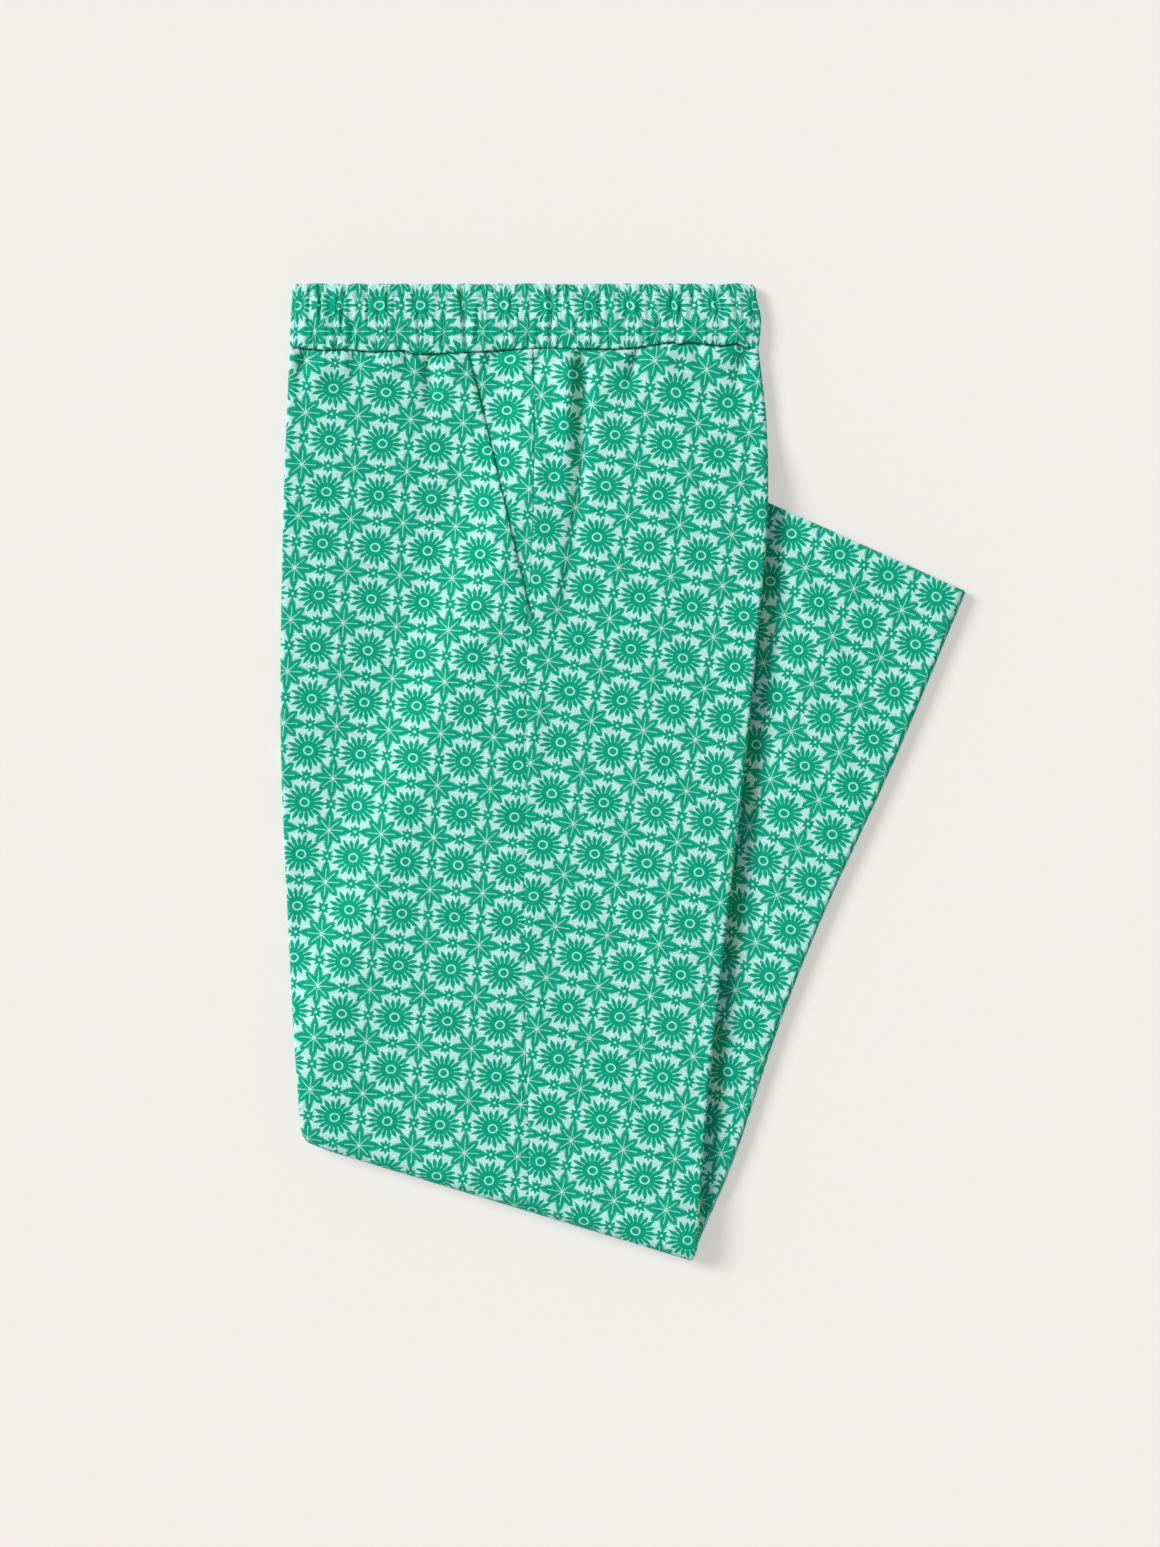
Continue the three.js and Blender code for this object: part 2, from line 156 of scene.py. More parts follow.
def joined(*parts):
    """Several sets of rows, one after the other."""
    return SimpleNamespace(**{name: np.concatenate([getattr(part, name) for part in parts])
                              for name in vars(parts[0])})


# %% [markdown]
# ## A point of the folded stack
# The cloth lies flat in plan, so its place across the leg and its depth in the stack say where it
# is. At the fold it runs on an arc round the fold's core, and the deeper it lies in the stack, the
# tighter its arc. Where the upper stack passes over the edge of the lower legs it sinks to the floor.

# %% Place a point and find its place on the flat cloth
FOLD_A, FOLD_B = UPPER[-1, 0:2], UPPER[-1, 2:4]
FOLD_OUT = np.array([(FOLD_B - FOLD_A)[1], -(FOLD_B - FOLD_A)[0]]) / np.linalg.norm(FOLD_B - FOLD_A)


def outside(x, y, a, b):
    """Distance of x, y to the left of the line from a to b."""
    along = (b - a) / np.linalg.norm(b - a)
    return (y - a[1]) * along[0] - (x - a[0]) * along[1]


def fold_plane(x, y):
    """Height of the fold's plane under the upper stack: full on the lower legs, 0 beside them."""
    beside = smooth(outside(x, y, LOWER[0, 0:2], LOWER[-1, 0:2]), *SETTLE)
    beyond = smooth(outside(x, y, LOWER[-1, 0:2], LOWER[-1, 2:4]), *SETTLE)
    return mix(-GAP / 2, CORE, (1 - beside) * (1 - beyond))


def place(rows, across, depth):
    """Point = left edge + across along the row, moved out by radius sin(turn) round the fold, at
    height plane + radius cos(turn), where radius is the fold's core less the depth."""
    width = widths(rows)[:, None]
    along = (rows.right - rows.left) / width
    ax, ay = along[:, :1], along[:, 1:]
    turn, past = rows.turn[:, None], rows.past[:, None]
    radius = CORE - depth
    corner = rows.corner[:, None] * (1 - smooth(across / width, 0, CORNER_REACH))
    out = radius * np.sin(turn) - CORNER_BACK * corner
    x = rows.left[:, :1] + ax * across + ay * out
    y = rows.left[:, 1:] + ay * across - ax * out
    x, y = x - ay * past, y + ax * past
    plane = np.where(turn == 0, fold_plane(x, y), CORE)
    return np.stack([x, y, plane + radius * np.cos(turn)], -1)


def round_corner(points, inward):
    """Draws the points beyond the fold's left corner in to a circle that touches the left edge and
    the nose of the fold, less inward mm for cloth that lies inside."""
    edge = (UPPER[-1, 0:2] - UPPER[-2, 0:2]) / np.linalg.norm(UPPER[-1, 0:2] - UPPER[-2, 0:2])
    sides = np.array([[edge[1], -edge[0]], FOLD_OUT])
    centre = np.linalg.solve(sides, sides @ FOLD_A + [0, CORE] - [CORNER_ROUND, CORNER_ROUND])
    away = points[..., 0:2] - centre
    from_centre = np.linalg.norm(away, axis=-1)
    a = sides[0, 0] * away[..., 1] - sides[0, 1] * away[..., 0]
    b = away[..., 0] * sides[1, 1] - away[..., 1] * sides[1, 0]
    limit = CORNER_ROUND - inward
    pull = np.where((a > 0) & (b > 0) & (from_centre > limit), limit / np.maximum(from_centre, 1), 1)
    points[..., 0:2] = centre + away * pull[..., None]


def flat_cloth(rows, across, depth, grain):
    """Place on the flat cloth: the plan, unrolled round the fold and mirrored below it, and turned
    by the grain angle. The cloth lies flat, so lengths in plan are lengths of cloth."""
    along = (rows.right - rows.left) / widths(rows)[:, None]
    point = rows.left[:, None, :] + along[:, None, :] * across[..., None]
    from_fold = (point - FOLD_A) @ FOLD_OUT
    turn, below = rows.turn[:, None], below_fold(rows)[:, None]
    run = np.maximum(CORE - depth, 0.15) * turn - np.where(below, 2 * from_fold, 0)
    run = run + rows.past[:, None] * np.where(below, 1, -1)
    flat = point + run[..., None] * FOLD_OUT
    c, s = math.cos(grain), math.sin(grain)
    return np.stack([flat[..., 0] * c - flat[..., 1] * s, flat[..., 0] * s + flat[..., 1] * c], -1)


# %% [markdown]
# ## Folds, gathers and the wavy waist seam
# Linen keeps every crease. The main ones are laid as soft ridges and troughs along short lines:
# gathers that start at the waist seam and die out, one long ridge down from the pocket, and faint
# wrinkles where the stack was pressed. A slow swell keeps the flat stretches from looking machined.

# %% Creases
# start x, y, end x, y, half width, lift (below 0 a trough), 1 if it starts at the waist seam
CREASES_TOP = np.array([
    [-206, 272, -205, 226, 5.5, -1.3, 1],
    [-200.5, 272, -213, 243, 3, -0.9, 1],
    [-139, 272, -137, 254, 2.2, -0.6, 1],
    [-117, 272, -127, 216, 3, -0.6, 1],
    [8, 272, 2.5, 234, 1.8, -0.8, 1],
    [78, 272, 81.5, 252, 2.2, -0.7, 1],
    [-207, 238, -176, 271, 6, 1.2, 0],
    [-172, 272, -168, 236, 4.5, -1.1, 1],
    [-150, 272, -147, 246, 5, 0.7, 1],
    [-125, 272, -124, 214, 4.5, -1.3, 1],
    [-112, 272, -108, 240, 5, 0.7, 1],
    [-84, 272, -82, 252, 5, -1.2, 1],
    [-66, 272, -60, 236, 6, 0.9, 1],
    [-52, 272, -50, 250, 4, -1.0, 1],
    [-35, 272, -37, 130, 6, 1.3, 1],
    [-37, 150, -52, 84, 6, 1.3, 0],
    [-25, 272, -30, 110, 4.5, -1.6, 1],
    [-29, 190, -38, 70, 5, -1.1, 0],
    [-6, 272, -3, 246, 5, 0.7, 1],
    [11, 272, 1, 236, 4, -1.3, 1],
    [24, 272, 33, 240, 6, 0.8, 1],
    [49, 272, 46, 250, 4, -0.8, 1],
    [60, 272, 62, 242, 5, 0.6, 1],
    [77, 272, 71, 226, 4.5, -1.2, 1],
    [20, 62, 34, 30, 7, -0.45, 0],
    [-6, 30, 8, 4, 7, -0.4, 0],
    [-150, 150, -120, 60, 12, 0.35, 0],
    [-190, 40, -160, -40, 12, -0.35, 0],
    [-110, -20, -90, -120, 13, 0.35, 0],
    [30, -60, 14, -170, 11, 0.35, 0],
    [-40, 40, -52, -60, 9, -0.35, 0],
    [-170, -130, -120, -190, 11, -0.3, 0],
    [-20, -160, -60, -240, 11, 0.3, 0],
    [60, 180, 66, 90, 9, 0.4, 0],
])
CREASES_LOWER = np.array([
    [96, 164, 120, 96, 8, 0.6, 0],
    [120, 60, 152, 40, 8, -0.5, 0],
    [90, 20, 118, -50, 9, 0.5, 0],
    [150, 120, 176, 92, 7, -0.4, 0],
    [76, -60, 96, -120, 8, -0.5, 0],
    [130, 0, 150, -30, 8, 0.4, 0],
    [64, -170, 74, -220, 6, 0.4, 0],
])
# the waist seam's line as it wanders: x and y
SEAM_LINE = np.array([
    [-211.8, 270.8], [-190.2, 268.9], [-176.8, 269.6], [-159.7, 267.7], [-139.4, 268.9],
    [-136.2, 266.6], [-117.2, 266.6], [-96.8, 267.7], [-53, 270.2], [-23.8, 269.6], [-4.8, 269.6],
    [10.5, 270.8], [21.9, 272.7], [31.4, 274.2], [34.6, 272.3], [41, 274], [53.7, 272.7],
    [60.6, 271.6], [72.7, 273.2], [78.4, 270.4], [86, 270.2],
])


def seam_height(x):
    """Height in plan of the waist seam at x, straight between the points of its line."""
    return np.interp(x, SEAM_LINE[:, 0], SEAM_LINE[:, 1])


def short_gathers(count):
    """Small creases that start at the waist seam, with their places, lengths and lifts seeded."""
    rng = np.random.default_rng(5)
    x = np.linspace(-204, 82, count) + rng.uniform(-4, 4, count)
    lean, length = rng.uniform(-4, 4, count), rng.uniform(12, 26, count)
    lift = rng.uniform(0.2, 0.55, count) * rng.choice([-1, 1], count)
    return np.stack([x, 0 * x + 272, x + lean, 272 - length, rng.uniform(1.8, 3, count), lift,
                     0 * x + 1], 1)


CREASES_TOP = np.vstack([CREASES_TOP, short_gathers(44)])


def beside_line(x, y, x0, y0, x1, y1):
    """Share of the way from x0, y0 to x1, y1 that a point has come, and its distance from the line."""
    length = math.hypot(x1 - x0, y1 - y0)
    t = ((x - x0) * (x1 - x0) + (y - y0) * (y1 - y0)) / length**2
    return t, ((x - x0) * (y1 - y0) - (y - y0) * (x1 - x0)) / length


# factor on the stated lift of a gather at the waist seam, and of any other crease
GATHER_LIFT, CREASE_LIFT = 2.8, 2
# cloth that a gather swallows for each mm of its stated lift, and how far off the print comes back
GATHER_TAKES, GATHER_SPREAD = 3.2, 11


def creased(x, y, creases):
    """Sum over the creases of lift times exp(-(distance / half)^2) along a slightly bent line, faded
    to nothing at the crease's ends, or only at its far end where it starts at the waist seam."""
    total = np.zeros_like(x)
    for x0, y0, x1, y1, half, lift, from_seam in creases:
        t, away = beside_line(x, y, x0, y0, x1, y1)
        bend = 0.9 * np.sin(3.1 * t + x0)
        fade = 1 - smooth(t, 0.1, 1)
        fade = fade * (GATHER_LIFT if from_seam else CREASE_LIFT * smooth(t, 0, 0.45))
        total += lift * fade * np.exp(-((away + bend) / half) ** 2)
    return total


def taken_up(x, y, creases):
    """Extra cloth that the waist's gathers swallow: at each gather the flat place jumps by
    GATHER_TAKES times its lift, and within GATHER_SPREAD on either side it comes back."""
    total = np.zeros_like(x)
    for x0, y0, x1, y1, half, lift in creases[creases[:, 6] == 1, :6]:
        t, away = beside_line(x, y, x0, y0, x1, y1)
        jump = smooth(away, -half, half) - 0.5 - np.clip(away / GATHER_SPREAD, -1, 1) * 0.5
        total -= GATHER_TAKES * abs(lift) * (1 - smooth(t, 0.1, 1)) * jump
    return total


def swell(x, y):
    """Slow unevenness: three crossed sine waves, 60 to 150 mm long, a fraction of a mm high."""
    return (0.25 * np.sin(x / 17 + 0.9 * np.sin(y / 41)) + 0.2 * np.sin(y / 23 + x / 61)
            + 0.18 * np.sin((x + y) / 13.5 + 1.7 * np.sin(x / 53)))


# %% [markdown]
# ## From a grid of points to a sheet of cloth
# A sheet is a grid of points worked out as whole arrays. The mesh gets its points and squares in one
# step, and a UV map named cloth that holds the place on the flat cloth in metres, so the print and
# the weave follow every fold. A Solidify modifier gives the sheet its thickness, and its inside gets
# the second material.

# %% Build a sheet
def square_faces(rows, columns, closed_rows=False, closed_columns=False):
    """Indices of the squares of a grid, joined end to end where it is closed."""
    i = np.arange(rows if closed_rows else rows - 1)[:, None]
    j = np.arange(columns if closed_columns else columns - 1)[None, :]
    i2, j2 = (i + 1) % rows, (j + 1) % columns
    corners = [i * columns + j, i2 * columns + j, i2 * columns + j2, i * columns + j2]
    return np.stack(np.broadcast_arrays(*corners), -1).reshape(-1, 4)


def make_piece(name, points, faces, flat=None, flip=False):
    """A mesh object from points in mm and faces, with the place on the flat cloth as its UV map."""
    faces = faces[:, ::-1] if flip else faces
    mesh = bpy.data.meshes.new(name)
    mesh.from_pydata((points.reshape(-1, 3) * MM).tolist(), [], faces.tolist())
    if flat is not None:
        layer = mesh.uv_layers.new(name="cloth")
        layer.data.foreach_set("uv", (flat.reshape(-1, 2)[faces.ravel()] * MM).ravel())
    mesh.polygons.foreach_set("use_smooth", np.ones(len(faces), bool))
    mesh.update()
    piece = bpy.data.objects.new(name, mesh)
    bpy.context.collection.objects.link(piece)
    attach(piece, "root")
    return piece


def thicken(piece, thickness=CLOTH):
    """Gives a sheet its thickness on its inside, where the cloth's reverse shows."""
    solid = piece.modifiers.new("thickness", "SOLIDIFY")
    solid.thickness = thickness * MM
    solid.offset = -1
    solid.material_offset = 1
    print(f"{piece.name}: {len(piece.data.polygons)} squares")


def faces_away(points, row, column, up):
    """True where the grid's square at this row and column faces away from up."""
    at, down, side = points[row, column], points[row + 1, column], points[row, column + 1]
    return bool(np.cross(down - at, side - at) @ np.array(up) < 0)


# %% [markdown]
# ## One trouser panel
# A panel is cut in one piece from the side seam, round the crease at the leg's edge, to the inside
# leg seam. Its section is therefore a flat stretch of outer cloth, half a turn of the crease, and a
# flat stretch of inner cloth. Columns are closer together near the border, where the pocket's mouth
# or the side seam needs a crisp edge.

# %% A panel's grid
CREASE_TURN = np.linspace(math.pi, 0, 13)
# the strip along the border whose columns are close together, and its columns
BORDER_WIDTH, BORDER_COLUMNS = 26, 22


def panel_grid(rows, edge, leg, reach, inner, columns, grain, shift, lift):
    """Grid of one panel. reach and inner are the widths, in mm from the leg's edge, of its outer
    and its inner cloth. Round the crease a point is first - r sin(angle) from the edge."""
    width, reach, inner = widths(rows)[:, None], reach[:, None], inner[:, None]
    first = leg.inset + CREASE
    near = np.linspace(0, 1, BORDER_COLUMNS + 1)[1:] ** 1.2 * BORDER_WIDTH
    plain = mix(first, reach - near[-1], np.linspace(0, 1, columns)[None, 1:])
    outer = np.hstack([plain, (reach - near[::-1])[:, 1:], reach])
    hidden = mix(inner, first, np.linspace(0, 1, 9)[None, :-1])
    radius = CREASE - rows.inward[:, None]
    turning = CREASE_TURN[None, :] + 0 * width
    angle = np.hstack([0 * hidden + math.pi, turning, 0 * outer])
    unrolled = 2 * first - math.pi * CREASE - hidden
    run = np.hstack([unrolled, first - CREASE * turning, outer])
    from_edge = np.hstack([hidden, first - radius * np.sin(turning), outer])
    across = from_edge if edge == "left" else width - from_edge
    depth = leg.face + leg.inside * (CREASE - radius * np.cos(angle))
    points = place(rows, across, depth)
    round_corner(points, leg.inset + 0.9 * (angle > NEARLY_HALF))
    is_outer = (angle == 0) & (rows.inward[:, None] == 0)
    lifted = lift(points, rows, from_edge - first, reach - from_edge)
    points[..., 2] += np.where(is_outer, lifted, 0)
    cloth_across = run if edge == "left" else width - run
    flat = flat_cloth(rows, cloth_across, depth, grain) + np.array(shift)
    if leg is LEFT_LEG:
        above = (angle == 0) & above_fold(rows)[:, None]
        flat[..., 0] += np.where(above, taken_up(points[..., 0], points[..., 1], CREASES_TOP), 0)
    return points, flat


def make_panel(name, points, flat, up):
    """The panel's sheet, turned so that a square of its outer cloth above the fold faces up, which
    is down for the right leg."""
    faces = square_faces(*points.shape[:2])
    outer_row, outer_column = 40, -12
    piece = make_piece(name, points, faces, flat, faces_away(points, outer_row, outer_column, up))
    thicken(piece)
    return piece


# %% [markdown]
# ## The left leg, on top
# The top rows run a little way under the waistband and follow its wavy seam. The front panel stops
# at the slanting pocket mouth, where its turned edge stands proud of the facing.

# %% Left front and back panels
POCKET_TOP, POCKET_FOOT = np.array([-99, WAIST_SEAM]), np.array([-58.4, 98.4])
POCKET_RAISE = 1.5
# how far three rows at the top run under the waistband, and the radius of the hem's turned edge
UNDER_BAND = np.array([3.4, 2.2, 1.1])
HEM_TURN = 0.55
near_waist = np.linspace(0, 0.14, 56)
to_fold = np.linspace(0.14, 1, 151)[1:]
fold_turn = np.linspace(0, math.pi, 21)[1:-1]


def corner_above(share):
    """How far the fold's soft corner reaches up the leg, growing evenly from share 0.935 to 1."""
    return np.clip((share - 0.935) / 0.065, 0, 1)


def corner_below(share):
    """The same on the lower leg, over its first seventh."""
    return np.clip(1 - share * 7, 0, 1)


def under_waistband():
    """The rows that run past the waist seam under the waistband."""
    return rows_of(UPPER, np.zeros(len(UNDER_BAND)), past=UNDER_BAND)


def turned_hem():
    """The hem's half turn to the inside, and the rows that run back up the inside of the leg."""
    swing = np.linspace(0, math.pi, 7)[1:]
    half_turn = rows_of(LOWER, np.ones(len(swing)), math.pi, inward=HEM_TURN * (1 - np.cos(swing)),
                        past=HEM_TURN * np.sin(swing))
    back_up = rows_of(LOWER, np.linspace(1, 0.94, 8)[1:], math.pi, inward=2 * HEM_TURN)
    return joined(half_turn, back_up)


def leg_rows(above, turns, below):
    """Rows from the waist seam at the shares above, round the fold at the turns, and on at the
    shares below to the turned hem."""
    return joined(rows_of(UPPER, above, corner=corner_above(above)),
                  rows_of(UPPER, np.ones(len(turns)), turns, 1),
                  rows_of(LOWER, below, math.pi, corner_below(below)), turned_hem())


def mouth(rows):
    """Distance of the pocket's mouth from the left edge: a straight line from top to foot."""
    y = mix(rows.left[:, 1], rows.right[:, 1], 0.45)
    t = np.clip((POCKET_TOP[1] - y) / (POCKET_TOP[1] - POCKET_FOOT[1]), 0, 1)
    x = mix(POCKET_TOP[0], POCKET_FOOT[0], t)
    return (x - rows.left[:, 0]) / (rows.right[:, 0] - rows.left[:, 0]) * widths(rows)


def front_reach(rows):
    """Outer width of the front panel: to the pocket's mouth, below it to the side seam."""
    seam = rows.seam * widths(rows) - 0.1
    open_rows = above_fold(rows) & (rows.share < YOKE_SHARE)
    return np.where(open_rows, np.minimum(mouth(rows), seam - 0.6), seam)


def inner_width(rows, full):
    """Width of the panel's inner cloth: a tuck at the waist, wider to the crotch, then the full
    way to the inside leg seam."""
    tuck = np.interp(rows.share, [0, 0.3, 0.5], [46, 84, 130])
    return np.where(above_fold(rows), np.minimum(tuck, full), full)


def top_lift(x, y, from_crease):
    """Creases and swell of the top cloth, dying out at the crease, less the drop that takes its
    edge under the waistband."""
    above_seam = y - WAIST_SEAM
    held = 1 - 0.75 * np.exp(-(above_seam / 4.5) ** 2)
    plump = 0.6 * np.exp(-((above_seam + 8) / 6) ** 2)
    lift = (creased(x, y, CREASES_TOP) + swell(x, y) + plump) * held * smooth(from_crease, 0, 9)
    return lift - 3.4 * smooth(above_seam, -1.8, 0.3)


def front_lift(points, rows, from_crease, to_border):
    """The top's lift, and the raised pocket mouth with its rolled edge."""
    x, y = points[..., 0], points[..., 1]
    raised = POCKET_RAISE * smooth(y, POCKET_FOOT[1] - 22, POCKET_FOOT[1] + 6)
    mouth_edge = raised * (1 - smooth(to_border, 7, 26)) - 0.75 * np.exp(-(to_border / 1.1) ** 2)
    seam_edge = -0.1 * np.exp(-(to_border / 1.2) ** 2)
    lift = top_lift(x, y, from_crease) + np.where(rows.share[:, None] < YOKE_SHARE, mouth_edge,
                                                  mouth_edge * 0.4 + seam_edge * 0.6)
    return np.where(above_fold(rows)[:, None], lift, 0)


def back_lift(points, rows, from_crease, to_border):
    """The top's lift, and the side seam: its edge passes under the front panel's, and a low ridge
    lies over its allowance."""
    x, y = points[..., 0], points[..., 1]
    seam = -0.5 * np.exp(-(to_border / 0.5) ** 2) + 0.25 * smooth(to_border, 1, 3) * (
        1 - smooth(to_border, 9, 13))
    return np.where(above_fold(rows)[:, None], top_lift(x, y, from_crease) + seam, 0)


def follow_seam(points, rows):
    """Moves the rows near the waist so that the top row follows the wavy seam."""
    down = WAIST_SEAM - points[..., 1]
    shift = (seam_height(points[..., 0]) - WAIST_SEAM) * (1 - smooth(down, 0, 40))
    points[..., 1] += np.where(above_fold(rows)[:, None], shift, 0)


def sink_beside_stack(points, rows):
    """Lowers the lower legs' layers beside the upper stack's edge, most near the hem and on top."""
    x, y, z = points[..., 0], points[..., 1], points[..., 2]
    edge = np.interp(y, UPPER[::-1, 3], UPPER[::-1, 2])
    depth = np.interp(y, [-290, -230, -60, 120], [0, 1.8, 3.6, 4.3])
    spread = np.interp(y, [-230, 120], [11, 22])
    sink = depth * np.exp(-(np.maximum(x - edge + 2, 0) / spread) ** 2)
    points[..., 2] -= np.where(below_fold(rows)[:, None], sink * np.clip(z / STACK, 0, 1), 0)


above_shares, below_shares = np.concatenate([near_waist, to_fold]), np.linspace(0, 1, 57)[1:]
left_rows = joined(under_waistband(), leg_rows(above_shares, fold_turn, below_shares))
FRONT_GRAIN, BACK_GRAIN = math.radians(4), math.radians(10)
FINE_COLUMNS, COARSE_COLUMNS = 58, 40
front_points, front_flat = panel_grid(
    left_rows, "left", LEFT_LEG, front_reach(left_rows),
    inner_width(left_rows, 0.5 * widths(left_rows)), FINE_COLUMNS, FRONT_GRAIN, (0, 0), front_lift)
follow_seam(front_points, left_rows)
sink_beside_stack(front_points, left_rows)
left_front = make_panel("left_front_cloth", front_points, front_flat, (0, 0, 1))
back_points, back_flat = panel_grid(
    left_rows, "right", LEFT_LEG,
    (1 - left_rows.seam) * widths(left_rows) + np.where(above_fold(left_rows), 0.5, -0.1),
    inner_width(left_rows, 0.5 * widths(left_rows) - GAP), FINE_COLUMNS, BACK_GRAIN, (9, 21),
    back_lift)
follow_seam(back_points, left_rows)
sink_beside_stack(back_points, left_rows)
left_back = make_panel("left_back_cloth", back_points, back_flat, (0, 0, 1))

# %% [markdown]
# ## The right leg, underneath
# The same panels in mirror image. Above the fold they are hidden and can be coarse. Below the fold
# the back panel is the cloth that shows at the right, with the hem, so its rows are close together
# there.

# %% Right front and back panels
def lower_lift(points, rows, from_crease, _to_border):
    """Creases and swell of the lower leg, and the step over the hem's turned edge."""
    x, y = points[..., 0], points[..., 1]
    hem = outside(x, y, LOWER[-1, 0:2], LOWER[-1, 2:4])
    step = 0.4 * smooth(hem, -31, -27)
    lift = (creased(x, y, CREASES_LOWER) + 0.8 * swell(x, y)) * smooth(from_crease, 0, 8) * (
        1 - 0.8 * smooth(hem, -20, 0)) + step
    return np.where(below_fold(rows)[:, None], lift, 0)


right_rows = leg_rows(np.linspace(0, 1, 70), np.linspace(0, math.pi, 11)[1:-1],
                      np.linspace(0.0012, 1, 190))
right_back_points, right_back_flat = panel_grid(
    right_rows, "right", RIGHT_LEG, (1 - right_rows.seam) * widths(right_rows),
    inner_width(right_rows, 0.5 * widths(right_rows) - GAP), FINE_COLUMNS, BACK_GRAIN, (-5, 3),
    lower_lift)
sink_beside_stack(right_back_points, right_rows)
right_back = make_panel("right_back_cloth", right_back_points, right_back_flat, (0, 0, -1))
right_front_points, right_front_flat = panel_grid(
    right_rows, "left", RIGHT_LEG, right_rows.seam * widths(right_rows) - GAP,
    inner_width(right_rows, 0.5 * widths(right_rows)), COARSE_COLUMNS, FRONT_GRAIN, (4, 8),
    lower_lift)
sink_beside_stack(right_front_points, right_rows)
right_front = make_panel("right_front_cloth", right_front_points, right_front_flat, (0, 0, -1))

# %% [markdown]
# ## The pocket facing
# Behind the slanting mouth lies a facing, sewn into the side seam. It is level with the back panel
# and passes under the mouth's raised edge, which throws a thin dark line on it.

# %% Pocket facing
def facing_grid():
    """Rows from the waist seam to the pocket's foot, from 16 mm under the mouth to the seam."""
    shares = np.linspace(0, YOKE_SHARE + 0.01, 110)
    rows = joined(under_waistband(), rows_of(UPPER, shares))
    seam = (rows.seam * widths(rows) - GAP)[:, None]
    edge = np.minimum(mouth(rows)[:, None], seam - 0.6)
    shown = mix(edge, seam, np.linspace(0, 1, 27)[None, 1:])
    across = np.hstack([edge - np.linspace(16, 0, 12)[None, :], shown])
    points = place(rows, across, 0 * across)
    x, y = points[..., 0], points[..., 1]
    dip = 0.35 + 0.35 * (1 - smooth(across - edge, -1, 8)) - 0.35 * smooth(across - edge, 12, 26)
    points[..., 2] += top_lift(x, y, 60 + 0 * x) - dip * smooth(seam - across, 0, 5) - 0.05
    follow_seam(points, rows)
    flat = flat_cloth(rows, across, 0 * across, math.radians(3)) + np.array([19, 5])
    flat[..., 0] += taken_up(x, y, CREASES_TOP)
    return points, flat


facing_points, facing_flat = facing_grid()
facing = make_panel("left_pocket_facing_cloth", facing_points, facing_flat, (0, 0, 1))

# %% [markdown]
# ## The waistband
# A casing of the same linen is turned over a wide elastic and stretched while it is sewn, so it
# springs back into close, uneven puckers. A row of stitches 8 mm below the top edge holds the
# elastic down. The band is one loop: over the top, round each crease, into a tuck at the front and
# the back, and along the floor. Puckers are troughs of a height field on the top of that loop.

# %% Puckers
rng = np.random.default_rng(11)
BAND_TOP, BAND_WALL, TUCK = 310.8, 1.9, 48
STITCH_ROW = 303
# factor on a pucker's stated depth, the cloth that it swallows for each mm of that depth, and how
# far to either side it reaches
PUCKER_DEPTH, PUCKER_TAKES, PUCKER_REACH = 0.9, 3.4, 9
# length of flat cloth in one length of the band
BAND_FULLNESS = 1.25
# share of the height, left end, right end
BAND_ENDS = np.array([
    [0, -212.4, 86.0], [0.15, -212.3, 87.0], [0.42, -211.8, 87.9], [0.6, -211.4, 86.8],
    [0.8, -210.9, 84.6], [0.9, -210.7, 84.4], [1, -210.5, 82.9],
])
# puckers that are deeper than the rest: x, lower end, upper end, half width, depth
DEEP_PUCKERS = np.array([
    [-176, 300, 312, 1.5, 0.9], [-139, 290, 311, 1.3, 0.9], [-101.3, 268, 312, 1.7, 1.5],
    [-99.5, 268, 285, 1.4, 0.8], [-45.5, 268, 312, 1.6, 1.2], [-19.4, 283, 300, 1.3, 0.9],
    [10.5, 284, 300, 1.3, 0.9], [37, 282, 302, 1.4, 1.0], [50.5, 302, 312, 1.3, 0.8],
    [72, 282, 302, 1.4, 1.0], [78.4, 268, 286, 1.3, 0.9], [-150, 268, 286, 1.2, 0.8],
    [-76, 275, 300, 1.3, 0.8], [-30, 268, 290, 1.3, 0.9], [24, 268, 292, 1.4, 1.0],
    [60, 286, 305, 1.2, 0.8],
])


def small_puckers(count):
    """Uneven rows of small puckers: x a step apart with a jitter, each with its own ends."""
    x = np.linspace(-209, 84, count) + rng.uniform(-2.4, 2.4, count)
    low = rng.choice([266, 266, 274, 284, 292], count) + rng.uniform(-2, 2, count)
    high = np.minimum(low + rng.uniform(12, 34, count), 314)
    return np.stack([x, low, high, rng.uniform(0.7, 1.3, count), rng.uniform(0.3, 1.0, count)], 1)


PUCKERS = np.vstack([DEEP_PUCKERS, small_puckers(64), small_puckers(46)])
LEANS = rng.uniform(-0.09, 0.09, len(PUCKERS))


def pucker_height(x, y):
    """Less the sum of depth times exp(-(distance / half)^2) within each pucker's ends, with broad
    rounded ridges between them."""
    wander = 0.8 * np.sin(y / 5.1 + x / 9) + 0.5 * np.sin(y / 2.9 + x / 4.3)
    height = 0.28 * np.sin(x / 1.02 + 1.3 * np.sin(y / 9 + x / 21)) + 0.2 * np.sin(x / 2.3 + y / 13)
    for (centre, low, high, half, depth), lean in zip(PUCKERS, LEANS):
        near = np.abs(x[0] - centre) < PUCKER_REACH
        xs, ys = x[:, near], y[:, near]
        away = (xs - centre - lean * (ys - 290) - wander[:, near] * 0.5) / half
        window = smooth(ys, low, low + 5) * (1 - smooth(ys, high - 5, high))
        trough, ridges = np.exp(-away**2), 0.25 * np.exp(-((np.abs(away) - 2.2) ** 2))
        height[:, near] -= PUCKER_DEPTH * depth * window * (trough - ridges)
    return height


# %% [markdown]
# The loop is swept up the band: each row has the same number of points, so the grid closes on
# itself along the loop, and the inner face closes it at the top and at the seam.

